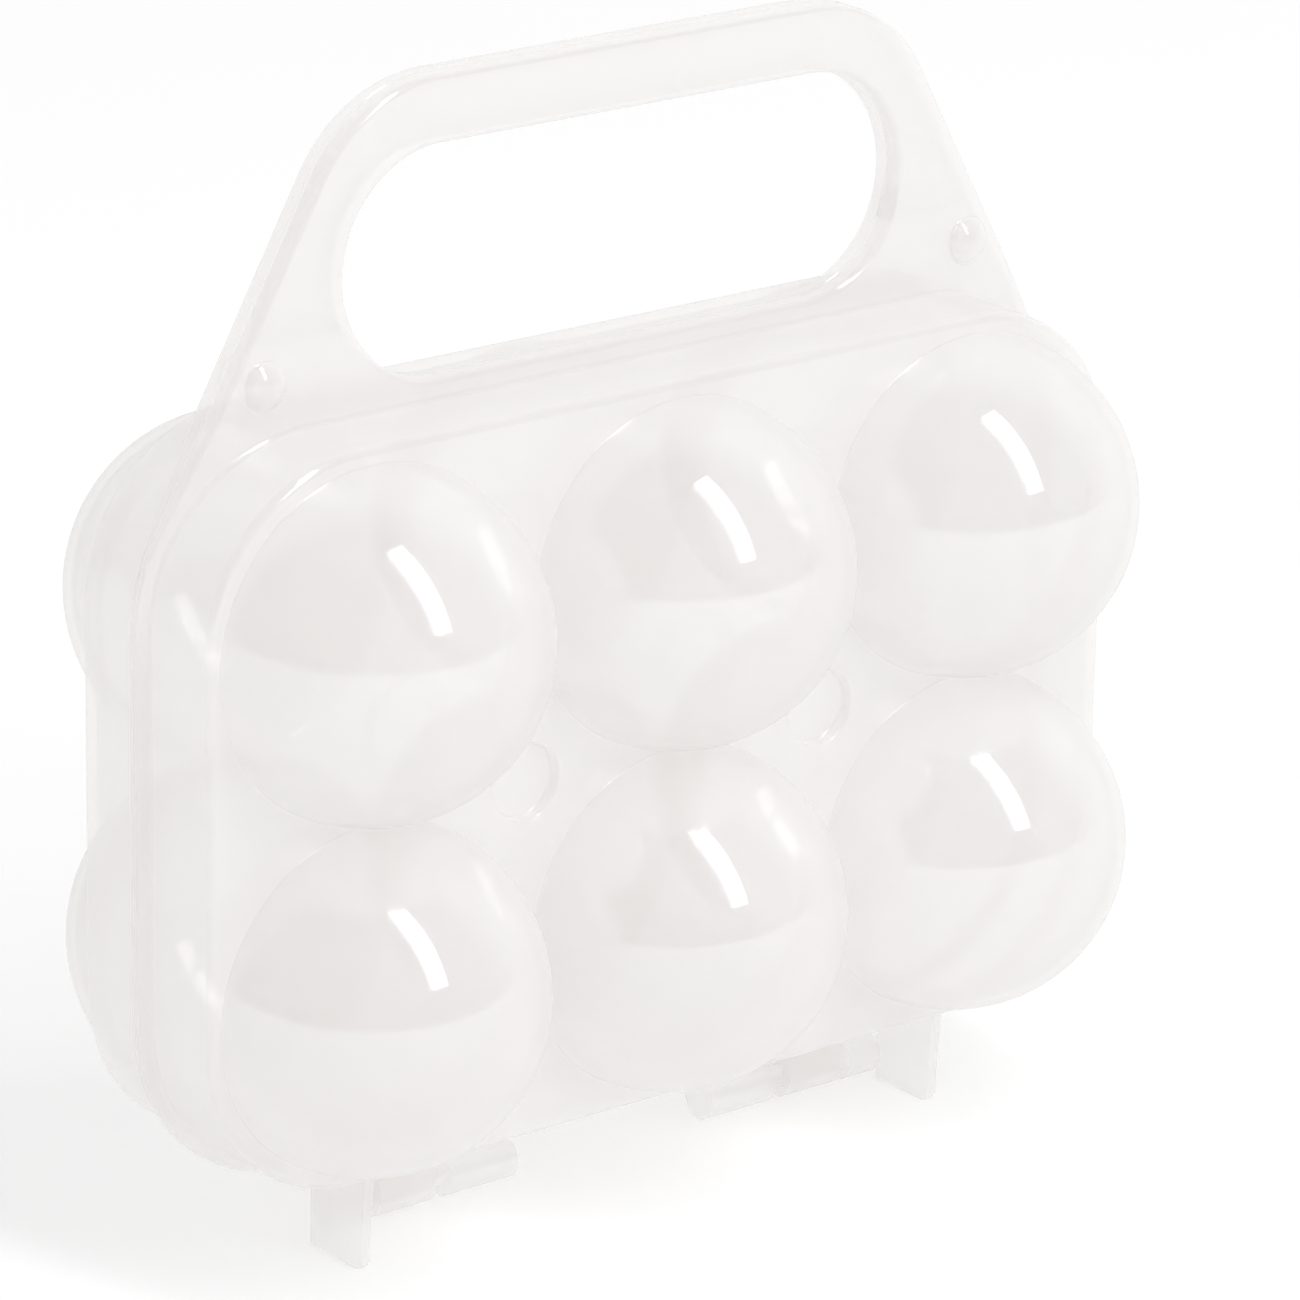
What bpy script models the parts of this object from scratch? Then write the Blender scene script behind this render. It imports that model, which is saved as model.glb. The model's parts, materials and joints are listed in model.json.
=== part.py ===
"""Six-egg carrier: two thin moulded half shells that close face to face on the plane y = 0.

Each half is a tray with six domed pockets, a rim flange and half of a carrying handle. The halves
turn on snap hinges along the bottom edge and latch with two studs beside the handle slot.
X runs along the carrier, Y runs through it (the front half is at -Y) and Z is up from the ground.
"""

import math

import bmesh
import bpy
from mathutils import Matrix, Vector

MM = 0.001

# Driving dimensions.
COLUMNS = (-1, 0, 1)
ROWS = (-0.5, 0.5)
COLUMN_PITCH = 50.5 * MM
ROW_PITCH = 49.0 * MM
GROUND_TO_MIDDLE = 64.7 * MM  # from the ground to the line between the two rows of pockets
WALL = 1.2 * MM
GAP = 0.3 * MM  # between pieces that touch

TRAY_HALF_WIDTH = 76.3 * MM
TRAY_HALF_HEIGHT = 51.0 * MM
TRAY_CORNER = 24.0 * MM
TRAY_DEPTH = 14.4 * MM
TRAY_EDGE = 1.5 * MM

DOME_RADIUS = 24.2 * MM
DOME_TIP = 38.1 * MM
DOME_CENTRE = 13.4 * MM

DIMPLE_RADIUS = 5.3 * MM
DIMPLE_DEPTH = 1.7 * MM

RIM_WIDTH = 2.0 * MM
RIM_THICK = 1.05 * MM
HANDLE_THICK = 2.75 * MM
HANDLE_TOP = 159.6 * MM
HANDLE_CORNER = 22.0 * MM
HANDLE_CORNER_X = 31.25 * MM
HANDLE_LOW_Z = 96.0 * MM  # the flange thickens from the rim to the handle between these heights
HANDLE_FULL_Z = 122.0 * MM
HANDLE_HOLLOW_Z = 121.5 * MM
HANDLE_HOLLOW_INSET = 1.7 * MM
HANDLE_HOLLOW_DEPTH = 1.6 * MM

SLOT_HALF_WIDTH = 46.65 * MM
SLOT_LOW = 118.6 * MM
SLOT_HIGH = 150.2 * MM
SLOT_WALL = 1.3 * MM

LATCH_X = 59.3 * MM
LATCH_Z = 122.5 * MM
LATCH_BOSS = 3.2 * MM
LATCH_FACE = 3.9 * MM
LATCH_SOCKET = 1.9 * MM
LATCH_STUD = 1.6 * MM
LATCH_REACH = 2.2 * MM

HINGE_Z = 4.3 * MM
KNUCKLE_RADIUS = 3.0 * MM
PIN_RADIUS = 1.5 * MM
HOOK_X = (31.0 * MM, 40.6 * MM)
KNUCKLES_X = ((17.0 * MM, 28.4 * MM), (42.2 * MM, 47.6 * MM))
HOOK_MOUTH = 2.3 * MM
KNUCKLE_TOP = 14.3 * MM

FIN_THICK = 1.6 * MM
FRONT_FIN_X = 49.6 * MM
FRONT_FIN_Y = (0.5 * MM, 12.2 * MM)
BACK_FIN_X = 39.0 * MM
BACK_FIN_Y = (3.7 * MM, 12.5 * MM)
FIN_TOP = 14.3 * MM

DOME_SEGMENTS = 24
ARC_STEP = math.radians(11.25)
SLIVER = 0.002 * MM  # edges shorter than this are closed up after each boolean
PAST = 6.0 * MM  # how far a solid runs past the parting plane before it is trimmed there

TO_XZ = Matrix.Rotation(math.radians(90), 4, "X")  # outline x, y become world x, z
TO_YZ = Matrix(((0, 0, 1, 0), (1, 0, 0, 0), (0, 1, 0, 0), (0, 0, 0, 1)))  # outline x, y: world y, z
FRONT, BACK = -1, 1


def clear_scene():
    for obj in list(bpy.data.objects):
        bpy.data.objects.remove(obj, do_unlink=True)


def collection_named(name):
    collection = bpy.data.collections.new(name)
    bpy.context.scene.collection.children.link(collection)
    return collection


def plastic(name, colour, roughness):
    material = bpy.data.materials.new(name)
    material.use_nodes = True
    shader = material.node_tree.nodes["Principled BSDF"]
    shader.inputs["Base Color"].default_value = (*colour, 1)
    shader.inputs["Roughness"].default_value = roughness
    shader.inputs["Metallic"].default_value = 0
    return material


# Outlines: lists of (x, y) points, anticlockwise.


def arc(centre, radius, start, end):
    """Points on an arc, anticlockwise from start to end, in radians."""
    steps = max(1, math.ceil((end - start) / ARC_STEP))
    angles = [start + (end - start) * i / steps for i in range(steps + 1)]
    return [(centre[0] + radius * math.cos(a), centre[1] + radius * math.sin(a)) for a in angles]


def circle(centre, radius):
    return arc(centre, radius, 0, 2 * math.pi)[:-1]


def tangent_normal(first, second):
    """The direction, in radians, of the outward normal on the line that touches two circles."""
    (x0, y0, r0), (x1, y1, r1) = first, second
    along = math.atan2(y1 - y0, x1 - x0)
    return along - math.pi / 2 + math.asin((r0 - r1) / math.hypot(x1 - x0, y1 - y0))


def belt(circles):
    """The outline of a belt round circles (x, y, radius), which are listed anticlockwise."""
    points = []
    for index, (x, y, radius) in enumerate(circles):
        start = tangent_normal(circles[index - 1], circles[index])
        end = tangent_normal(circles[index], circles[(index + 1) % len(circles)])
        while end < start:
            end += 2 * math.pi
        points += arc((x, y), radius, start, end)
    return points


def mirrored_circles(right_side):
    """Circles on the right side, listed from the bottom up, and their mirror images."""
    return right_side + [(-x, y, radius) for x, y, radius in reversed(right_side)]


def tray_outline(grow=0.0):
    x = TRAY_HALF_WIDTH - TRAY_CORNER
    z = TRAY_HALF_HEIGHT - TRAY_CORNER
    corners = [(x, GROUND_TO_MIDDLE + up * z, TRAY_CORNER + grow) for up in (-1, 1)]
    return belt(mirrored_circles(corners))


def flange_outline(shrink=0.0):
    """The rim round the tray, carried up in one sweep into the handle."""
    x = TRAY_HALF_WIDTH - TRAY_CORNER
    z = TRAY_HALF_HEIGHT - TRAY_CORNER
    radius = TRAY_CORNER + RIM_WIDTH - shrink
    side = [(x, GROUND_TO_MIDDLE + up * z, radius) for up in (-1, 1)]
    side.append((HANDLE_CORNER_X, HANDLE_TOP - HANDLE_CORNER, HANDLE_CORNER - shrink))
    return belt(mirrored_circles(side))


def slot_outline(grow=0.0):
    end = (SLOT_HIGH - SLOT_LOW) / 2
    middle = (SLOT_HIGH + SLOT_LOW) / 2
    return belt(mirrored_circles([(SLOT_HALF_WIDTH - end, middle, end + grow)]))


def knuckle_outline(side):
    """A U with its round end on the hinge axis and its stem up into the tray, on one side of y = 0."""
    outer = arc((0, HINGE_Z), KNUCKLE_RADIUS, math.pi, 2 * math.pi)
    near = (side * GAP / 2, KNUCKLE_TOP)
    far = (side * KNUCKLE_RADIUS, KNUCKLE_TOP)
    rise = math.asin(GAP / 2 / KNUCKLE_RADIUS)
    if side == FRONT:
        shoulder = arc((0, HINGE_Z), KNUCKLE_RADIUS, 0, math.pi / 2 + rise)[1:]
        return outer + shoulder + [near, far]
    shoulder = arc((0, HINGE_Z), KNUCKLE_RADIUS, math.pi / 2 - rise, math.pi)[:-1]
    return outer + [far, near] + shoulder


# Solids.


def mesh_object(name, mesh):
    obj = bpy.data.objects.new(name, mesh)
    bpy.context.scene.collection.objects.link(obj)
    return obj


def plate(name, loops, placing, low, high):
    """A flat outline, with any holes, pushed along the axis that placing sets, from low to high."""
    curve = bpy.data.curves.new(name, "CURVE")
    curve.dimensions = "2D"
    curve.fill_mode = "BOTH"
    curve.extrude = (high - low) / 2
    for loop in loops:
        spline = curve.splines.new("POLY")
        spline.points.add(len(loop) - 1)
        spline.use_cyclic_u = True
        for point, (x, y) in zip(spline.points, loop):
            point.co = (x, y, 0, 1)
    guide = bpy.data.objects.new(name, curve)
    bpy.context.scene.collection.objects.link(guide)
    guide.matrix_world = placing @ Matrix.Translation((0, 0, (high + low) / 2))
    bpy.context.view_layer.update()
    mesh = bpy.data.meshes.new_from_object(guide.evaluated_get(bpy.context.evaluated_depsgraph_get()))
    mesh.transform(guide.matrix_world)
    bpy.data.objects.remove(guide)
    tidy(mesh)
    return mesh_object(name, mesh)


def tidy(mesh):
    """Welds a plate's caps to its sides, and makes each cap one flat face."""
    work = bmesh.new()
    work.from_mesh(mesh)
    bmesh.ops.remove_doubles(work, verts=work.verts, dist=1e-7)
    bmesh.ops.recalc_face_normals(work, faces=work.faces)
    flat = math.radians(0.1)
    bmesh.ops.dissolve_limit(work, angle_limit=flat, verts=work.verts, edges=work.edges)
    work.to_mesh(mesh)
    work.free()


def front_plate(name, loops, near, far):
    """A plate between the distances near and far in front of the parting plane."""
    return plate(name, loops, TO_XZ, near, far)


def box(name, low, high):
    low, high = Vector(low), Vector(high)
    mesh = bpy.data.meshes.new(name)
    work = bmesh.new()
    place = Matrix.Translation((low + high) / 2) @ Matrix.Diagonal((*(high - low), 1))
    bmesh.ops.create_cube(work, size=1, matrix=place)
    work.to_mesh(mesh)
    work.free()
    return mesh_object(name, mesh)


def ellipsoids(name, shrink):
    """The six pocket domes, with their poles along Y."""
    mesh = bpy.data.meshes.new(name)
    work = bmesh.new()
    radius = DOME_RADIUS - shrink
    reach = DOME_TIP - DOME_CENTRE - shrink
    for column in COLUMNS:
        for row in ROWS:
            z = GROUND_TO_MIDDLE + row * ROW_PITCH
            place = Matrix.Translation((column * COLUMN_PITCH, -DOME_CENTRE, z))
            shape = Matrix.Diagonal((radius, reach, radius, 1))
            bmesh.ops.create_uvsphere(
                work,
                u_segments=DOME_SEGMENTS,
                v_segments=DOME_SEGMENTS // 2,
                radius=1,
                matrix=place @ shape @ TO_XZ,
            )
    work.to_mesh(mesh)
    work.free()
    return mesh_object(name, mesh)


def round_edges(obj, width, segments):
    bevel = obj.modifiers.new("Round edges", "BEVEL")
    bevel.width = width
    bevel.segments = segments
    bevel.limit_method = "ANGLE"
    bevel.angle_limit = math.radians(60)
    bake(obj)


def bake(obj):
    """Puts the result of the object's modifiers into its mesh."""
    bpy.context.view_layer.update()
    evaluated = obj.evaluated_get(bpy.context.evaluated_depsgraph_get())
    mesh = bpy.data.meshes.new_from_object(evaluated)
    work = bmesh.new()
    work.from_mesh(mesh)
    bmesh.ops.remove_doubles(work, verts=work.verts, dist=SLIVER)
    bmesh.ops.dissolve_degenerate(work, edges=work.edges, dist=SLIVER)
    work.to_mesh(mesh)
    work.free()
    obj.modifiers.clear()
    obj.data = mesh


def combine(obj, tool, operation):
    boolean = obj.modifiers.new(operation.title(), "BOOLEAN")
    boolean.operation = operation
    boolean.solver = "EXACT"
    boolean.object = tool
    bake(obj)
    bpy.data.objects.remove(tool)


def join(obj, tool):
    combine(obj, tool, "UNION")


def cut(obj, tool):
    combine(obj, tool, "DIFFERENCE")


# The half shell, built as the front half.


def flange():
    """The rim and the handle's front face, which steps up from the rim to the handle in one slope."""
    obj = front_plate("flange", [flange_outline()], -PAST / 2, RIM_THICK)
    work = bmesh.new()
    work.from_mesh(obj.data)
    for height in (HANDLE_LOW_Z, HANDLE_FULL_Z):
        every = work.verts[:] + work.edges[:] + work.faces[:]
        bmesh.ops.bisect_plane(work, geom=every, dist=1e-7, plane_co=(0, 0, height), plane_no=(0, 0, 1))
    for vertex in work.verts:
        if vertex.co.y < 0:
            climb = (vertex.co.z - HANDLE_LOW_Z) / (HANDLE_FULL_Z - HANDLE_LOW_Z)
            climb = min(max(climb, 0), 1)
            vertex.co.y = -RIM_THICK - climb * (HANDLE_THICK - RIM_THICK)
    work.to_mesh(obj.data)
    work.free()
    return obj


def handle_hollow():
    """The space inside the handle, open at the parting plane."""
    obj = front_plate("hollow", [flange_outline(HANDLE_HOLLOW_INSET)], -2 * PAST, HANDLE_HOLLOW_DEPTH)
    below = box("below", (-1, -1, -1), (1, 1, HANDLE_HOLLOW_Z))
    cut(obj, below)
    return obj


def half_shell(name):
    shell = front_plate(name, [tray_outline()], -PAST, TRAY_DEPTH)
    round_edges(shell, TRAY_EDGE, 2)
    join(shell, ellipsoids("domes", 0))
    join(shell, flange())
    inside = front_plate("inside", [tray_outline(-WALL)], -2 * PAST, TRAY_DEPTH - WALL)
    round_edges(inside, TRAY_EDGE / 2, 1)
    cut(shell, inside)
    cut(shell, ellipsoids("pockets", WALL))
    cut(shell, handle_hollow())
    join(shell, front_plate("slot_wall", [slot_outline(SLOT_WALL)], -PAST / 3, HANDLE_HOLLOW_DEPTH + GAP))
    cut(shell, front_plate("slot", [slot_outline()], -2 * PAST, 2 * PAST))
    for side in (-1, 1):
        centre = (side * COLUMN_PITCH / 2, GROUND_TO_MIDDLE)
        floor = TRAY_DEPTH - DIMPLE_DEPTH
        pad = circle(centre, DIMPLE_RADIUS + WALL)
        join(shell, front_plate("pad", [pad], floor - WALL, TRAY_DEPTH - WALL / 2))
        cut(shell, front_plate("dimple", [circle(centre, DIMPLE_RADIUS)], floor, 2 * TRAY_DEPTH))
        boss = circle((side * LATCH_X, LATCH_Z), LATCH_BOSS)
        join(shell, front_plate("boss", [boss], -PAST / 4, LATCH_FACE))
    cut(shell, box("trim", (-1, -GAP / 2, -1), (1, 1, 1)))
    return shell


def turned_to_back(obj):
    """Mirrors a front half into a back half."""
    work = bmesh.new()
    work.from_mesh(obj.data)
    work.transform(Matrix.Diagonal((1, -1, 1, 1)))
    bmesh.ops.reverse_faces(work, faces=work.faces)
    work.to_mesh(obj.data)
    work.free()
    return obj


def add_fins(shell, side, centre_x, reach):
    """Two upright fins under the tray that the carrier stands on."""
    low, high = sorted((side * reach[0], side * reach[1]))
    for hand in (-1, 1):
        x = hand * centre_x
        fin = box("fin", (x - FIN_THICK / 2, low, 0), (x + FIN_THICK / 2, high, FIN_TOP))
        join(shell, fin)


def side_span(hand, span):
    return sorted((hand * span[0], hand * span[1]))


def add_hooks(shell):
    """The front half's hinge hooks: rings round the pins, with a mouth at the back to snap over them."""
    for hand in (-1, 1):
        low, high = side_span(hand, HOOK_X)
        join(shell, plate("hook", [knuckle_outline(FRONT)], TO_YZ, low, high))
        bore = [circle((0, HINGE_Z), PIN_RADIUS + GAP)]
        cut(shell, plate("bore", bore, TO_YZ, low - GAP, high + GAP))
        half = HOOK_MOUTH / 2
        mouth = box("mouth", (low - GAP, 0, HINGE_Z - half), (high + GAP, PAST, HINGE_Z + half))
        cut(shell, mouth)


def add_knuckles(shell):
    """The back half's hinge knuckles, with the pin between each pair."""
    for hand in (-1, 1):
        for span in KNUCKLES_X:
            low, high = side_span(hand, span)
            join(shell, plate("knuckle", [knuckle_outline(BACK)], TO_YZ, low, high))
        low, high = side_span(hand, (KNUCKLES_X[0][1] - WALL, KNUCKLES_X[1][0] + WALL))
        join(shell, plate("pin", [circle((0, HINGE_Z), PIN_RADIUS)], TO_YZ, low, high))


def add_sockets(shell):
    for hand in (-1, 1):
        bore = [circle((hand * LATCH_X, LATCH_Z), LATCH_SOCKET)]
        cut(shell, front_plate("socket", bore, -PAST, LATCH_FACE - WALL))


def add_studs(shell):
    for hand in (-1, 1):
        stud = [circle((hand * LATCH_X, LATCH_Z), LATCH_STUD)]
        join(shell, front_plate("stud", stud, -2 * MM, LATCH_REACH))


def put_origin_on_hinge(obj):
    axis_point = Vector((0, 0, HINGE_Z))
    obj.data.transform(Matrix.Translation(-axis_point))
    obj.location = axis_point


def finish_part(obj, parts, material):
    for face in obj.data.polygons:
        face.use_smooth = True
    obj.data.set_sharp_from_angle(angle=math.radians(30))
    obj.data.materials.clear()
    obj.data.materials.append(material)
    for collection in list(obj.users_collection):
        collection.objects.unlink(obj)
    parts.objects.link(obj)


def main():
    clear_scene()
    parts = collection_named("egg_carton")
    clear_plastic = plastic("clear_polypropylene", (0.9, 0.89, 0.88), 0.22)
    back_plastic = plastic("clear_polypropylene_back", (0.88, 0.86, 0.86), 0.25)

    front = half_shell("front_shell")
    add_fins(front, FRONT, FRONT_FIN_X, FRONT_FIN_Y)
    add_hooks(front)
    add_sockets(front)
    put_origin_on_hinge(front)

    back = turned_to_back(half_shell("back_shell"))
    add_fins(back, BACK, BACK_FIN_X, BACK_FIN_Y)
    add_knuckles(back)
    add_studs(back)

    finish_part(front, parts, clear_plastic)
    finish_part(back, parts, back_plastic)


main()
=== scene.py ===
"""The look of the six-egg carrier: two smooth clear mouldings round the CAD shells, on a pale floor.

Metres, +Z up. The carrier stands with its two halves meeting on the plane y = 0, the front half at -Y.
Each half is first built as the front one. Its outlines are lists of stations (x, z, outward normal),
and its sections are lists of (outward offset, depth in front of y = 0).
"""

import json
import math

import bmesh
import bpy
from mathutils import Matrix, Vector


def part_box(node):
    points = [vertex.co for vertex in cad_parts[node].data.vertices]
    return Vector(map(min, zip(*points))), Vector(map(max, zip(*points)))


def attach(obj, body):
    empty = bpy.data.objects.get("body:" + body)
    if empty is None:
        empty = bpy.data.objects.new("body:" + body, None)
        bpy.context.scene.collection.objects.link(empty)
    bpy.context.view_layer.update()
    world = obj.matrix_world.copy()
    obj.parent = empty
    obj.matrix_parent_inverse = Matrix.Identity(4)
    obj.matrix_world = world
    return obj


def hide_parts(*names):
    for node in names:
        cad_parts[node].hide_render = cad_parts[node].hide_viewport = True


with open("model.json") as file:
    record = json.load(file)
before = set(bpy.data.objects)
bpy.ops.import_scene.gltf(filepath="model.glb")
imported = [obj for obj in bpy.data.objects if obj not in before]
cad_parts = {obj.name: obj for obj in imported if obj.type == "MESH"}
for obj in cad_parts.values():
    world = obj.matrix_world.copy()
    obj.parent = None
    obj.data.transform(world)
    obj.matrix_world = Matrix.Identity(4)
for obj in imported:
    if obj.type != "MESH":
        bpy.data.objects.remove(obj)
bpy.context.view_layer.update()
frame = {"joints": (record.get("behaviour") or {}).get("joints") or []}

MM = 0.001
LEFT_RIGHT = (-1, 1)

# Sizes that the frame gives.
FRONT_LOW, FRONT_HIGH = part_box("front_shell")
HINGE_Z = frame["joints"][0]["pos_m"][2]
DOME_TIP = -FRONT_LOW.y
HANDLE_TOP = FRONT_HIGH.z

# Tray, pockets and rim.
COLUMNS = (-1, 0, 1)
ROWS = (-0.5, 0.5)
COLUMN_PITCH = 50.5 * MM
ROW_PITCH = 49.0 * MM
MIDDLE_Z = 64.7 * MM
SEAM = 0.15 * MM  # each half stops this far from y = 0
WALL = 1.2 * MM
RIM_WIDTH = 2.0 * MM
TRAY_HALF_WIDTH = FRONT_HIGH.x - RIM_WIDTH
TRAY_HALF_HEIGHT = 51.0 * MM
TRAY_CORNER = 24.0 * MM
TRAY_DEPTH = 14.4 * MM
TRAY_EDGE = 1.2 * MM
TRAY_FOOT = 0.8 * MM
INNER_EDGE = 0.5 * MM
DOME_RADIUS = 24.2 * MM
DOME_CENTRE = 13.4 * MM
DOME_FOOT = 0.2 * MM
POCKET_EDGE = 0.8 * MM
DIMPLE_RADIUS = 5.3 * MM
DIMPLE_DEPTH = 1.7 * MM
DIMPLE_EDGE = 0.4 * MM

# Handle and latches.
RIM_THICK = 1.05 * MM
HANDLE_THICK = 2.75 * MM
HANDLE_CORNER = 22.0 * MM
HANDLE_CORNER_X = 31.25 * MM
RAMP_LOW, RAMP_HIGH = 96.0 * MM, 122.0 * MM
RAMP_STEPS = 8
RIM_ROUND, HANDLE_ROUND = 0.5 * MM, 0.9 * MM
SEAM_ROUND = 0.15 * MM
SLOT_HALF_WIDTH = 46.65 * MM
SLOT_LOW, SLOT_HIGH = 118.6 * MM, 150.2 * MM
SLOT_ROUND = 1.0 * MM
SLOT_WALL = 1.3 * MM
HOLLOW_LOW = 127.0 * MM
HOLLOW_TAPER = 0.1 * MM  # the roof comes down to the seam over the last station above HOLLOW_LOW
HOLLOW_INSET = 1.7 * MM
HOLLOW_DEPTH = 1.6 * MM
LATCH_X, LATCH_Z = 59.3 * MM, 122.5 * MM
LATCH_BOSS = 3.2 * MM
LATCH_FACE = 3.9 * MM
LATCH_CROWN = 0.6 * MM  # the boss is domed, a little higher in its middle than the plain solid
LATCH_FOOT = 0.3 * MM
LATCH_SOCKET = 1.9 * MM
LATCH_STUD = 1.6 * MM
LATCH_REACH = 2.2 * MM
STUD_ROUND = 0.4 * MM

# Hinges and fins.
KNUCKLE_RADIUS = 3.0 * MM
PIN_RADIUS = 1.5 * MM
PIN_PLAY = 0.3 * MM
HOOK_X = (31.0 * MM, 40.6 * MM)
KNUCKLES_X = ((17.0 * MM, 28.4 * MM), (42.2 * MM, 47.6 * MM))
HOOK_MOUTH = 2.3 * MM
INTO_WALL = 14.3 * MM  # height inside the tray's bottom wall, where fins and knuckles end
HINGE_ROUND = 0.35 * MM
PIN_ROUND = 0.2 * MM
FIN_THICK = 1.6 * MM
FIN_ROUND = 0.3 * MM
FIN_CORNER = 1.0 * MM
FRONT_FIN_X, BACK_FIN_X = 49.6 * MM, 39.0 * MM
FRONT_FIN = (0.5 * MM, 11.9 * MM, 13.0 * MM)  # near edge, far edge at the foot, far edge at the top
BACK_FIN = (3.7 * MM, 12.2 * MM, 12.7 * MM)

# How finely curves are divided.
STATION_STEP = math.radians(5)
HINGE_STEP = 1.5 * STATION_STEP
FIN_STEP = 15  # degrees
STATION_RUN = 9.0 * MM
ROUND_STEPS = 5
BEVEL_STEPS = 3
CROWN_RINGS = 10
DOME_SIDES = 96
DOME_RINGS = 26
SMALL_SIDES = 40
FLOOR_SIDES = 96
SHARP_ANGLE = math.radians(38)
SAME_POINT = 1e-6
ON_CUT = 1e-7


# Outlines.


def arc_stations(x, z, radius, start, end):
    steps = max(1, math.ceil((end - start) / STATION_STEP))
    angles = [start + (end - start) * i / steps for i in range(steps + 1)]
    return [(x + radius * math.cos(a), z + radius * math.sin(a), math.cos(a), math.sin(a)) for a in angles]


def tangent_normal(first, second):
    """The direction of the outward normal on the line that touches two circles (x, z, radius)."""
    (x0, z0, r0), (x1, z1, r1) = first, second
    along = math.atan2(z1 - z0, x1 - x0)
    return along - math.pi / 2 + math.asin((r0 - r1) / math.hypot(x1 - x0, z1 - z0))


def belt(circles):
    """Stations on a belt round circles, which are listed anticlockwise."""
    stations = []
    for index, (x, z, radius) in enumerate(circles):
        start = tangent_normal(circles[index - 1], circles[index])
        end = tangent_normal(circles[index], circles[(index + 1) % len(circles)])
        while end < start:
            end += 2 * math.pi
        stations += arc_stations(x, z, radius, start, end)
    return with_runs_divided(stations)


def with_runs_divided(stations):
    """The same closed outline, with stations added along its straight runs."""
    divided = []
    for index, (x0, z0, nx, nz) in enumerate(stations):
        x1, z1 = stations[(index + 1) % len(stations)][:2]
        pieces = max(1, math.ceil(math.hypot(x1 - x0, z1 - z0) / STATION_RUN))
        for i in range(pieces):
            divided.append((x0 + (x1 - x0) * i / pieces, z0 + (z1 - z0) * i / pieces, nx, nz))
    return divided


def mirrored(circles):
    return circles + [(-x, z, radius) for x, z, radius in reversed(circles)]


def tray_circles(grow):
    x = TRAY_HALF_WIDTH - TRAY_CORNER
    z = TRAY_HALF_HEIGHT - TRAY_CORNER
    return [(x, MIDDLE_Z + up * z, TRAY_CORNER + grow) for up in (-1, 1)]


def tray_outline():
    return belt(mirrored(tray_circles(0)))


def flange_outline():
    """The rim round the tray, carried up into the handle."""
    handle = (HANDLE_CORNER_X, HANDLE_TOP - HANDLE_CORNER, HANDLE_CORNER)
    return belt(mirrored(tray_circles(RIM_WIDTH) + [handle]))


def slot_outline():
    radius = (SLOT_HIGH - SLOT_LOW) / 2
    return belt(mirrored([(SLOT_HALF_WIDTH - radius, (SLOT_HIGH + SLOT_LOW) / 2, radius)]))


def offset_points(stations, out):
    return [(x + nx * out, z + nz * out) for x, z, nx, nz in stations]


def part_above(points, height):
    """The open run of an outline's points above a height, with its two ends on that height."""
    run = []
    for (x0, z0), (x1, z1) in zip(points, points[1:] + points[:1]):
        if z0 >= height:
            run.append((x0, z0))
        if (z0 >= height) != (z1 >= height):
            share = (height - z0) / (z1 - z0)
            run.append((x0 + (x1 - x0) * share, height))
    return run


# Sections: lists of (outward offset, depth).


def quarter(centre, radius, start):
    """A quarter circle in a section, from the direction start, in degrees, anticlockwise."""
    angles = [math.radians(start + 90 * i / ROUND_STEPS) for i in range(ROUND_STEPS + 1)]
    return [(centre[0] + radius * math.cos(a), centre[1] + radius * math.sin(a)) for a in angles]


def ramp(z):
    share = min(max((z - RAMP_LOW) / (RAMP_HIGH - RAMP_LOW), 0), 1)
    return share * share * (3 - 2 * share)


def face_depth(z):
    return RIM_THICK + (HANDLE_THICK - RIM_THICK) * ramp(z)


def flange_section(z):
    face = face_depth(z)
    edge = RIM_ROUND + (HANDLE_ROUND - RIM_ROUND) * ramp(z)
    return [(-SEAM_ROUND, SEAM), (0, SEAM + SEAM_ROUND)] + quarter((-edge, face - edge), edge, 0)


def slot_section(z):
    rolled = quarter((SLOT_ROUND, face_depth(z) - SLOT_ROUND), SLOT_ROUND, 90)
    return [(SEAM_ROUND, SEAM), (0, SEAM + SEAM_ROUND)] + rolled[::-1]


def tray_section(z):
    foot = quarter((TRAY_FOOT, face_depth(z) + TRAY_FOOT), TRAY_FOOT, 180)
    return foot[::-1] + quarter((-TRAY_EDGE, TRAY_DEPTH - TRAY_EDGE), TRAY_EDGE, 0)


def tray_inside_section(_):
    """The same all round, so it has no use for the height that sweep gives it."""
    floor = quarter((-WALL - INNER_EDGE, TRAY_DEPTH - WALL - INNER_EDGE), INNER_EDGE, 0)
    return [(SEAM_ROUND - WALL, SEAM), (-WALL, SEAM + SEAM_ROUND)] + floor


def ellipse_section(radius, reach, start_depth):
    """Half a dome, from a depth on its side to its tip."""
    first = math.asin((start_depth - DOME_CENTRE) / reach)
    angles = [first + (math.pi / 2 - first) * i / DOME_RINGS for i in range(DOME_RINGS + 1)]
    return [(radius * math.cos(a), DOME_CENTRE + reach * math.sin(a)) for a in angles]


def dome_section():
    side = ellipse_section(DOME_RADIUS, DOME_TIP - DOME_CENTRE, TRAY_DEPTH + DOME_FOOT)
    foot = quarter((side[0][0] + DOME_FOOT, TRAY_DEPTH + DOME_FOOT), DOME_FOOT, 180)
    return foot[::-1] + side[1:]


def pocket_section():
    floor = TRAY_DEPTH - WALL
    side = ellipse_section(DOME_RADIUS - WALL, DOME_TIP - DOME_CENTRE - WALL, floor + POCKET_EDGE)
    edge = quarter((side[0][0] + POCKET_EDGE, floor + POCKET_EDGE), POCKET_EDGE, 180)
    return edge[::-1] + side[1:]


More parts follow.
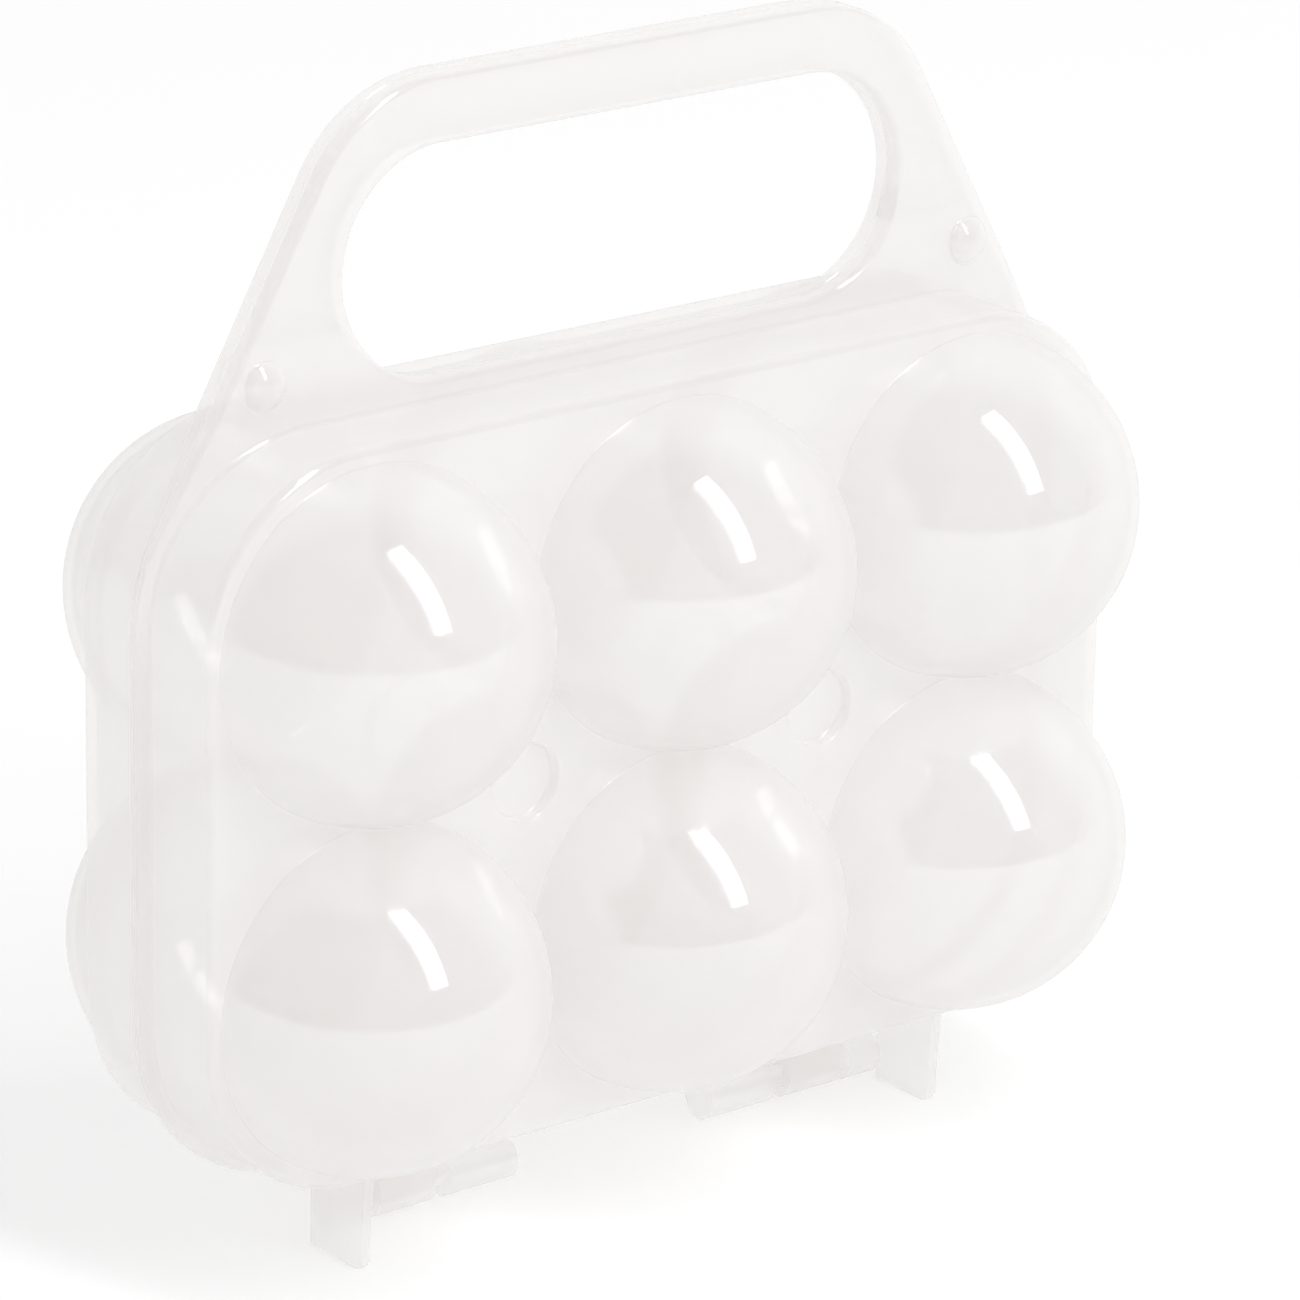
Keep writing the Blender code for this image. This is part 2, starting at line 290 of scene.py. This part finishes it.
def dimple_section():
    floor = TRAY_DEPTH - DIMPLE_DEPTH
    edge = quarter((DIMPLE_RADIUS + DIMPLE_EDGE, TRAY_DEPTH - DIMPLE_EDGE), DIMPLE_EDGE, 90)
    inner = quarter((DIMPLE_RADIUS - DIMPLE_EDGE, floor + DIMPLE_EDGE), DIMPLE_EDGE, 270)
    return edge + inner[::-1] + [(0, floor)]


def dimple_inside_section():
    top = TRAY_DEPTH - WALL
    floor = top - DIMPLE_DEPTH
    radius = DIMPLE_RADIUS + WALL
    foot = quarter((radius + DIMPLE_EDGE, top - DIMPLE_EDGE), DIMPLE_EDGE, 90)
    edge = quarter((radius - DIMPLE_EDGE, floor + DIMPLE_EDGE), DIMPLE_EDGE, 270)
    return foot + edge[::-1] + [(0, floor)]


def boss_section():
    """A low dome on a small foot."""
    base = face_depth(LATCH_Z)
    foot = quarter((LATCH_BOSS + LATCH_FOOT, base + LATCH_FOOT), LATCH_FOOT, 180)
    rise = LATCH_FACE + LATCH_CROWN - base - LATCH_FOOT
    radius = (LATCH_BOSS**2 + rise**2) / (2 * rise)
    lean = math.asin(LATCH_BOSS / radius)
    angles = [lean * (1 - i / CROWN_RINGS) for i in range(1, CROWN_RINGS + 1)]
    centre = LATCH_FACE + LATCH_CROWN - radius
    return foot[::-1] + [(radius * math.sin(a), centre + radius * math.cos(a)) for a in angles]


def socket_section():
    floor = LATCH_FACE - WALL
    mouth = [(LATCH_SOCKET + SEAM_ROUND, SEAM), (LATCH_SOCKET, SEAM + SEAM_ROUND)]
    return mouth + [(LATCH_SOCKET, floor), (0, floor)]


def stud_section():
    root = [(LATCH_STUD + SEAM_ROUND, SEAM), (LATCH_STUD, SEAM - SEAM_ROUND)]
    tip = quarter((LATCH_STUD - STUD_ROUND, STUD_ROUND - LATCH_REACH), STUD_ROUND, 270)
    return root + tip[::-1] + [(0, -LATCH_REACH)]


# Surfaces.


def new_loop(work, points, depth):
    """A closed loop of vertices; depth is one number, or one for each point."""
    depths = depth if isinstance(depth, list) else [depth] * len(points)
    return [work.verts.new((x, -d, z)) for (x, z), d in zip(points, depths)]


def bridge(work, first, second):
    count = len(first)
    for i in range(count):
        j = (i + 1) % count
        work.faces.new((first[i], first[j], second[j], second[i]))


def sweep(work, stations, section):
    """A strip round an outline. Returns its first and last loops."""
    sections = [section(z) for _, z, _, _ in stations]
    loops = []
    for step in range(len(sections[0])):
        points = [(x + nx * s[step][0], z + nz * s[step][0]) for (x, z, nx, nz), s in zip(stations, sections)]
        loops.append(new_loop(work, points, [s[step][1] for s in sections]))
        if step:
            bridge(work, loops[-2], loops[-1])
    return loops[0], loops[-1]


def revolve(work, centre, section, sides):
    """A turned surface about an axis along Y, closed by a fan at its tip. Returns its first loop."""
    loops = []
    for radius, depth in section[:-1]:
        turns = [2 * math.pi * i / sides for i in range(sides)]
        points = [(centre[0] + radius * math.cos(a), centre[1] + radius * math.sin(a)) for a in turns]
        loops.append(new_loop(work, points, depth))
        if len(loops) > 1:
            bridge(work, loops[-2], loops[-1])
    tip = work.verts.new((centre[0], -section[-1][1], centre[1]))
    last = loops[-1]
    for i in range(sides):
        work.faces.new((last[i], last[(i + 1) % sides], tip))
    return loops[0]


def fill(work, loops):
    """A flat face between an outer loop and the loops of its holes. Returns its new faces."""
    edges = []
    for loop in loops:
        for a, b in zip(loop, loop[1:] + loop[:1]):
            edges.append(work.edges.get((a, b)) or work.edges.new((a, b)))
    made = bmesh.ops.triangle_fill(work, edges=edges, use_beauty=True, normal=(0, -1, 0))
    return [item for item in made["geom"] if isinstance(item, bmesh.types.BMFace)]


def fill_ramp(work, loops):
    """The flange's front face, which follows face_depth between its loops."""
    faces = fill(work, loops)
    part = set(faces) | {e for f in faces for e in f.edges} | {v for f in faces for v in f.verts}
    for step in range(RAMP_STEPS + 1):
        height = RAMP_LOW + (RAMP_HIGH - RAMP_LOW) * step / RAMP_STEPS
        cut = bmesh.ops.bisect_plane(
            work, geom=list(part), dist=ON_CUT, plane_co=(0, 0, height), plane_no=(0, 0, 1)
        )
        part = set(cut["geom"]) | set(cut["geom_cut"])
    for item in part:
        if isinstance(item, bmesh.types.BMVert):
            item.co.y = -face_depth(item.co.z)


def pocket_centres():
    return [(column * COLUMN_PITCH, MIDDLE_Z + row * ROW_PITCH) for column in COLUMNS for row in ROWS]


def dimple_centres():
    return [(side * COLUMN_PITCH / 2, MIDDLE_Z) for side in LEFT_RIGHT]


def latch_centres():
    return [(side * LATCH_X, LATCH_Z) for side in LEFT_RIGHT]


def half_shell(latch_section):
    """One half as a closed mesh, as the front half."""
    work = bmesh.new()
    flange_seam, flange_face = sweep(work, flange_outline(), flange_section)
    slot_seam, slot_face = sweep(work, slot_outline(), slot_section)
    tray_foot, tray_top = sweep(work, tray_outline(), tray_section)
    bosses = [revolve(work, centre, boss_section(), SMALL_SIDES) for centre in latch_centres()]
    fill_ramp(work, [flange_face, slot_face, tray_foot] + bosses)
    top_holes = [revolve(work, centre, dome_section(), DOME_SIDES) for centre in pocket_centres()]
    top_holes += [revolve(work, centre, dimple_section(), SMALL_SIDES) for centre in dimple_centres()]
    fill(work, [tray_top] + top_holes)

    mouth, floor = sweep(work, tray_outline(), tray_inside_section)
    holes = [revolve(work, centre, pocket_section(), DOME_SIDES) for centre in pocket_centres()]
    holes += [revolve(work, centre, dimple_inside_section(), SMALL_SIDES) for centre in dimple_centres()]
    fill(work, [floor] + holes)
    latches = [revolve(work, centre, latch_section, SMALL_SIDES) for centre in latch_centres()]
    fill(work, [flange_seam, slot_seam, mouth, handle_hollow(work)] + latches)
    bmesh.ops.recalc_face_normals(work, faces=work.faces)
    return work


def handle_hollow(work):
    """The space inside the handle, above and beside the slot. Returns its loop at the seam."""
    outer = part_above(offset_points(flange_outline(), -HOLLOW_INSET), HOLLOW_LOW)
    inner = part_above(offset_points(slot_outline(), SLOT_WALL), HOLLOW_LOW)
    points = outer + inner[::-1]
    seam = new_loop(work, points, SEAM)
    depths = [HOLLOW_DEPTH if z > HOLLOW_LOW + HOLLOW_TAPER else SEAM + SEAM_ROUND for _, z in points]
    roof = new_loop(work, points, depths)
    bridge(work, seam, roof)
    fill(work, [roof])
    return seam


def hinge_arc(radius, start, end):
    """Points (y, z) on an arc about the hinge axis, between two angles from the back, turning upwards."""
    steps = math.ceil(abs(end - start) / HINGE_STEP)
    angles = [start + (end - start) * i / steps for i in range(steps + 1)]
    return [(radius * math.cos(a), HINGE_Z + radius * math.sin(a)) for a in angles]


def hook_outline():
    """A ring (y, z) round the hinge axis with a mouth towards the back, and its stem up into the tray."""
    play = PIN_RADIUS + PIN_PLAY
    out = math.asin(HOOK_MOUTH / 2 / KNUCKLE_RADIUS)
    into = math.asin(HOOK_MOUTH / 2 / play)
    ring = hinge_arc(KNUCKLE_RADIUS, -out, -math.pi)
    stem = [(-KNUCKLE_RADIUS, INTO_WALL), (-SEAM, INTO_WALL)]
    shoulder = hinge_arc(KNUCKLE_RADIUS, math.pi / 2 + math.asin(SEAM / KNUCKLE_RADIUS), out)
    return ring + stem + shoulder + hinge_arc(play, into, 2 * math.pi - into)


def knuckle_outline():
    shoulder = hinge_arc(KNUCKLE_RADIUS, math.pi / 2 + math.asin(SEAM / KNUCKLE_RADIUS), -math.pi)
    return shoulder + [(-KNUCKLE_RADIUS, INTO_WALL), (-SEAM, INTO_WALL)]


def pin_outline():
    return hinge_arc(PIN_RADIUS, 0, 2 * math.pi)[:-1]


def fin_outline(near, foot, top):
    """An upright fin (y, z) with a rounded front corner at the ground."""
    turn = [(math.cos(math.radians(a)), math.sin(math.radians(a))) for a in range(180, 271, FIN_STEP)]
    corner = [(-foot + FIN_CORNER * (1 + c), FIN_CORNER * (1 + s)) for c, s in turn]
    return [(-near, INTO_WALL), (-top, INTO_WALL)] + corner + [(-near, 0)]


def add_prism(work, outline, low, high, rounding):
    """A closed solid with the outline (y, z), between two values of x, with its end edges rounded."""
    ends = [[work.verts.new((x, y, z)) for y, z in outline] for x in (low, high)]
    bridge(work, *ends)
    caps = [work.faces.new(end) for end in ends]
    edges = [edge for cap in caps for edge in cap.edges]
    bmesh.ops.bevel(work, geom=edges, offset=rounding, segments=BEVEL_STEPS, profile=0.5, affect="EDGES")


def mesh_object(name, work):
    bmesh.ops.remove_doubles(work, verts=work.verts, dist=SAME_POINT)
    bmesh.ops.recalc_face_normals(work, faces=work.faces)
    mesh = bpy.data.meshes.new(name)
    work.to_mesh(mesh)
    work.free()
    obj = bpy.data.objects.new(name, mesh)
    bpy.context.scene.collection.objects.link(obj)
    return obj


def join(obj, outline, low, high, rounding):
    """Joins a solid to both sides of the shell, at x from low to high and mirrored."""
    work = bmesh.new()
    for side in LEFT_RIGHT:
        add_prism(work, outline, *sorted((side * low, side * high)), rounding)
    tool = mesh_object("tool", work)
    union = obj.modifiers.new("union", "BOOLEAN")
    union.operation = "UNION"
    union.solver = "MANIFOLD"
    union.object = tool
    bake(obj)
    bpy.data.objects.remove(tool)


def bake(obj):
    """Puts the result of the object's modifiers into its mesh."""
    bpy.context.view_layer.update()
    mesh = bpy.data.meshes.new_from_object(obj.evaluated_get(bpy.context.evaluated_depsgraph_get()))
    obj.modifiers.clear()
    obj.data = mesh


def turn_to_back(obj):
    obj.data.transform(Matrix.Diagonal((1, -1, 1, 1)))
    obj.data.flip_normals()


def smooth(obj):
    for face in obj.data.polygons:
        face.use_smooth = True
    obj.data.set_sharp_from_angle(angle=SHARP_ANGLE)
    weighted = obj.modifiers.new("weighted", "WEIGHTED_NORMAL")
    weighted.keep_sharp = True
    bake(obj)


def join_fins(obj, outline, x):
    join(obj, outline, x - FIN_THICK / 2, x + FIN_THICK / 2, FIN_ROUND)


def front_half():
    obj = mesh_object("front_half", half_shell(socket_section()))
    join_fins(obj, fin_outline(*FRONT_FIN), FRONT_FIN_X)
    join(obj, hook_outline(), *HOOK_X, HINGE_ROUND)
    smooth(obj)
    return obj


def back_half():
    obj = mesh_object("back_half", half_shell(stud_section()))
    join_fins(obj, fin_outline(*BACK_FIN), BACK_FIN_X)
    for span in KNUCKLES_X:
        join(obj, knuckle_outline(), *span, HINGE_ROUND)
    join(obj, pin_outline(), KNUCKLES_X[0][1] - WALL, KNUCKLES_X[1][0] + WALL, PIN_ROUND)
    turn_to_back(obj)
    smooth(obj)
    return obj


# Materials.

CLEAR_TINT = (0.991, 0.987, 0.985, 1)
MILK_PALE = (0.998, 0.992, 0.988, 1)
MILK_DENSE = (0.990, 0.982, 0.977, 1)
WHITE = (1, 1, 1, 1)
FLOW_SCALE, RIPPLE_SCALE = 28, 60  # per metre
FLOW_RANGE = (0.3, 0.7)  # where most values of the noise lie
RIPPLE_STRENGTH = 0.25
RIPPLE_DEPTH = 0.4 * MM
BACKLIT_SHARE = 0.55  # how much of the milk's light comes through from behind
HAZE_EXPONENT, SHINE_EXPONENT = 3, 5
HAZE = (0.275, 0.58)  # face on, edge on
HAZE_FLOW = 0.03
SHINE = (0.060, 0.34)  # face on, edge on
SHINE_ROUGHNESS = (0.03, 0.07)
FLOOR_COLOUR = (0.60, 0.60, 0.60, 1)
FLOOR_GLOW = 0.39


class Nodes:
    """A short way to write a node tree."""

    def __init__(self, owner):
        owner.use_nodes = True
        self.tree = owner.node_tree
        self.tree.nodes.clear()

    def add(self, kind, inputs=None, **settings):
        node = self.tree.nodes.new(kind)
        for name, value in settings.items():
            setattr(node, name, value)
        for name, value in (inputs or {}).items():
            socket = node.inputs[name]
            if isinstance(value, bpy.types.NodeSocket):
                self.tree.links.new(value, socket)
            else:
                socket.default_value = value
        return node

    def noise(self, place, scale):
        inputs = {"Vector": place, "Scale": scale, "Detail": 1}
        return self.add("ShaderNodeTexNoise", inputs).outputs["Fac"]

    def spread(self, value, low, high, to_low, to_high):
        """The value carried from the range low..high to the range to_low..to_high, and kept within it."""
        inputs = {"Value": value, "From Min": low, "From Max": high, "To Min": to_low, "To Max": to_high}
        return self.add("ShaderNodeMapRange", inputs).outputs["Result"]

    def power(self, value, exponent):
        return self.add("ShaderNodeMath", {0: value, 1: exponent}, operation="POWER").outputs[0]

    def sum(self, first, second):
        return self.add("ShaderNodeMath", {0: first, 1: second}, operation="ADD", use_clamp=True).outputs[0]

    def blended(self, share, first, second):
        return self.add("ShaderNodeMixShader", {0: share, 1: first.outputs[0], 2: second.outputs[0]})

    def mixed(self, share, first, second):
        node = self.add("ShaderNodeMix", data_type="RGBA")
        for index, value in ((0, share), (6, first), (7, second)):
            if isinstance(value, bpy.types.NodeSocket):
                self.tree.links.new(value, node.inputs[index])
            else:
                node.inputs[index].default_value = value
        return node.outputs[2]


def clear_polypropylene():
    """A thin clear wall, slightly milky.

    More light scatters and more is mirrored where the wall is seen edge on.
    """
    material = bpy.data.materials.new("clear_polypropylene")
    nodes = Nodes(material)
    place = nodes.add("ShaderNodeTexCoord").outputs["Object"]
    flow = nodes.noise(place, FLOW_SCALE)
    height = nodes.noise(place, RIPPLE_SCALE)
    bump = {"Strength": RIPPLE_STRENGTH, "Distance": RIPPLE_DEPTH, "Height": height}
    ripple = nodes.add("ShaderNodeBump", bump).outputs["Normal"]
    edge_on = nodes.add("ShaderNodeLayerWeight", {"Blend": 0.5, "Normal": ripple}).outputs["Facing"]

    clear = nodes.add("ShaderNodeBsdfTransparent", {"Color": CLEAR_TINT})
    colour = nodes.mixed(nodes.spread(flow, *FLOW_RANGE, 0, 1), MILK_PALE, MILK_DENSE)
    lit = nodes.add("ShaderNodeBsdfDiffuse", {"Color": colour, "Normal": ripple})
    backlit = nodes.add("ShaderNodeBsdfTranslucent", {"Color": colour, "Normal": ripple})
    milk = nodes.blended(BACKLIT_SHARE, lit, backlit)
    haze = nodes.spread(nodes.power(edge_on, HAZE_EXPONENT), 0, 1, *HAZE)
    haze = nodes.sum(haze, nodes.spread(flow, *FLOW_RANGE, 0, HAZE_FLOW))
    wall = nodes.blended(haze, clear, milk)

    roughness = nodes.spread(flow, *FLOW_RANGE, *SHINE_ROUGHNESS)
    shine = nodes.add("ShaderNodeBsdfGlossy", {"Roughness": roughness, "Normal": ripple})
    mirrored_share = nodes.spread(nodes.power(edge_on, SHINE_EXPONENT), 0, 1, *SHINE)
    surface = nodes.blended(mirrored_share, wall, shine)
    nodes.add("ShaderNodeOutputMaterial", {"Surface": surface.outputs[0]})
    return material


def pale_floor():
    """A white table top of clouded acrylic, lit from below as well as from above."""
    material = bpy.data.materials.new("pale_floor")
    nodes = Nodes(material)
    look = {
        "Base Color": FLOOR_COLOUR,
        "Roughness": 1.0,
        "Specular IOR Level": 0.0,
        "Emission Color": WHITE,
        "Emission Strength": FLOOR_GLOW,
    }
    surface = nodes.add("ShaderNodeBsdfPrincipled", look)
    nodes.add("ShaderNodeOutputMaterial", {"Surface": surface.outputs[0]})
    return material


# Stage.

FLOOR_RADIUS = 4.0
AWAY = (0.63, 0.78, 0)  # the level direction from the camera's side to the far side
BACKDROP = (1.05, 1.05, 1.05, 1)
BACKDROP_EDGE = (0.0, 0.5)  # how far towards AWAY the dim studio gives way to the backdrop
DIM_WARM, DIM_VIOLET = (0.17, 0.10, 0.05, 1), (0.12, 0.07, 0.13, 1)
WARM_SIDE = (-0.9, 0.2)  # from the left, where the studio is warm, to where it is violet
ROOM_LIGHT = (0.775, 0.775, 0.775, 1)
STRIP_PLACE, STRIP_AIM = (0.30, -1.67, 1.9), (0, 0, 0.08)
STRIP_WIDTH, STRIP_LENGTH = 0.5, 2.6
STRIP_WATTS = 31.0
CAMERA_PLACE = (-0.57904, -0.72903, 0.39668)
CAMERA_RIGHT = (0.78303, -0.62176, 0.01700)
CAMERA_UP = (0.19100, 0.26637, 0.94476)
CAMERA_LENS, CAMERA_SENSOR = 201.8, 36.0  # millimetres
TRANSPARENT_BOUNCES, DIFFUSE_BOUNCES, MOST_BOUNCES = 32, 12, 24


def add_floor():
    work = bmesh.new()
    bmesh.ops.create_circle(work, cap_ends=True, segments=FLOOR_SIDES, radius=FLOOR_RADIUS)
    floor = mesh_object("floor", work)
    floor.data.materials.append(pale_floor())
    return floor


def set_world():
    """A white room with even light.

    What the gloss mirrors is a pale backdrop behind the carrier and a dim studio on the near side of it,
    warm at the left and slightly violet from its middle on. The camera itself sees plain white.
    """
    world = bpy.data.worlds.new("room")
    bpy.context.scene.world = world
    nodes = Nodes(world)
    place = nodes.add("ShaderNodeTexCoord").outputs["Generated"]
    x = nodes.add("ShaderNodeSeparateXYZ", {"Vector": place}).outputs["X"]
    away = nodes.add("ShaderNodeVectorMath", {0: place, 1: AWAY}, operation="DOT_PRODUCT").outputs["Value"]
    studio = nodes.mixed(nodes.spread(x, *WARM_SIDE, 0, 1), DIM_WARM, DIM_VIOLET)
    colour = nodes.mixed(nodes.spread(away, *BACKDROP_EDGE, 0, 1), studio, BACKDROP)
    path = nodes.add("ShaderNodeLightPath").outputs
    colour = nodes.mixed(path["Is Glossy Ray"], ROOM_LIGHT, colour)
    colour = nodes.mixed(path["Is Camera Ray"], colour, WHITE)
    room = nodes.add("ShaderNodeBackground", {"Color": colour, "Strength": 1.0})
    nodes.add("ShaderNodeOutputWorld", {"Surface": room.outputs["Background"]})


def add_strip_light():
    """A long soft light high in front: the bright stripe on each dome."""
    lamp = bpy.data.lights.new("strip", "AREA")
    lamp.shape = "RECTANGLE"
    lamp.size, lamp.size_y = STRIP_WIDTH, STRIP_LENGTH
    lamp.energy = STRIP_WATTS
    obj = bpy.data.objects.new("strip", lamp)
    bpy.context.scene.collection.objects.link(obj)
    obj.location = STRIP_PLACE
    obj.rotation_euler = (Vector(STRIP_AIM) - Vector(STRIP_PLACE)).to_track_quat("-Z", "Y").to_euler()


def add_camera():
    """Looks down at the front from the left."""
    camera = bpy.data.cameras.new("camera")
    camera.lens = CAMERA_LENS
    camera.sensor_width = CAMERA_SENSOR
    obj = bpy.data.objects.new("camera", camera)
    bpy.context.scene.collection.objects.link(obj)
    right, up = Vector(CAMERA_RIGHT), Vector(CAMERA_UP)
    turn = Matrix((right, up, right.cross(up))).transposed()
    obj.matrix_world = Matrix.Translation(CAMERA_PLACE) @ turn.to_4x4()
    bpy.context.scene.camera = obj


def set_colour_and_bounces():
    """Light crosses each clear wall twice and is scattered many times inside the closed carrier."""
    scene = bpy.context.scene
    scene.view_settings.view_transform = "Standard"
    scene.cycles.transparent_max_bounces = TRANSPARENT_BOUNCES
    scene.cycles.diffuse_bounces = DIFFUSE_BOUNCES
    scene.cycles.max_bounces = MOST_BOUNCES


front = front_half()
back = back_half()
plastic = clear_polypropylene()
for piece, node, body in ((front, "front_shell", "front"), (back, "back_shell", "back")):
    piece.data.materials.clear()
    piece.data.materials.append(plastic)
    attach(piece, body)
    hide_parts(node)

add_floor()
set_world()
add_strip_light()
add_camera()
set_colour_and_bounces()
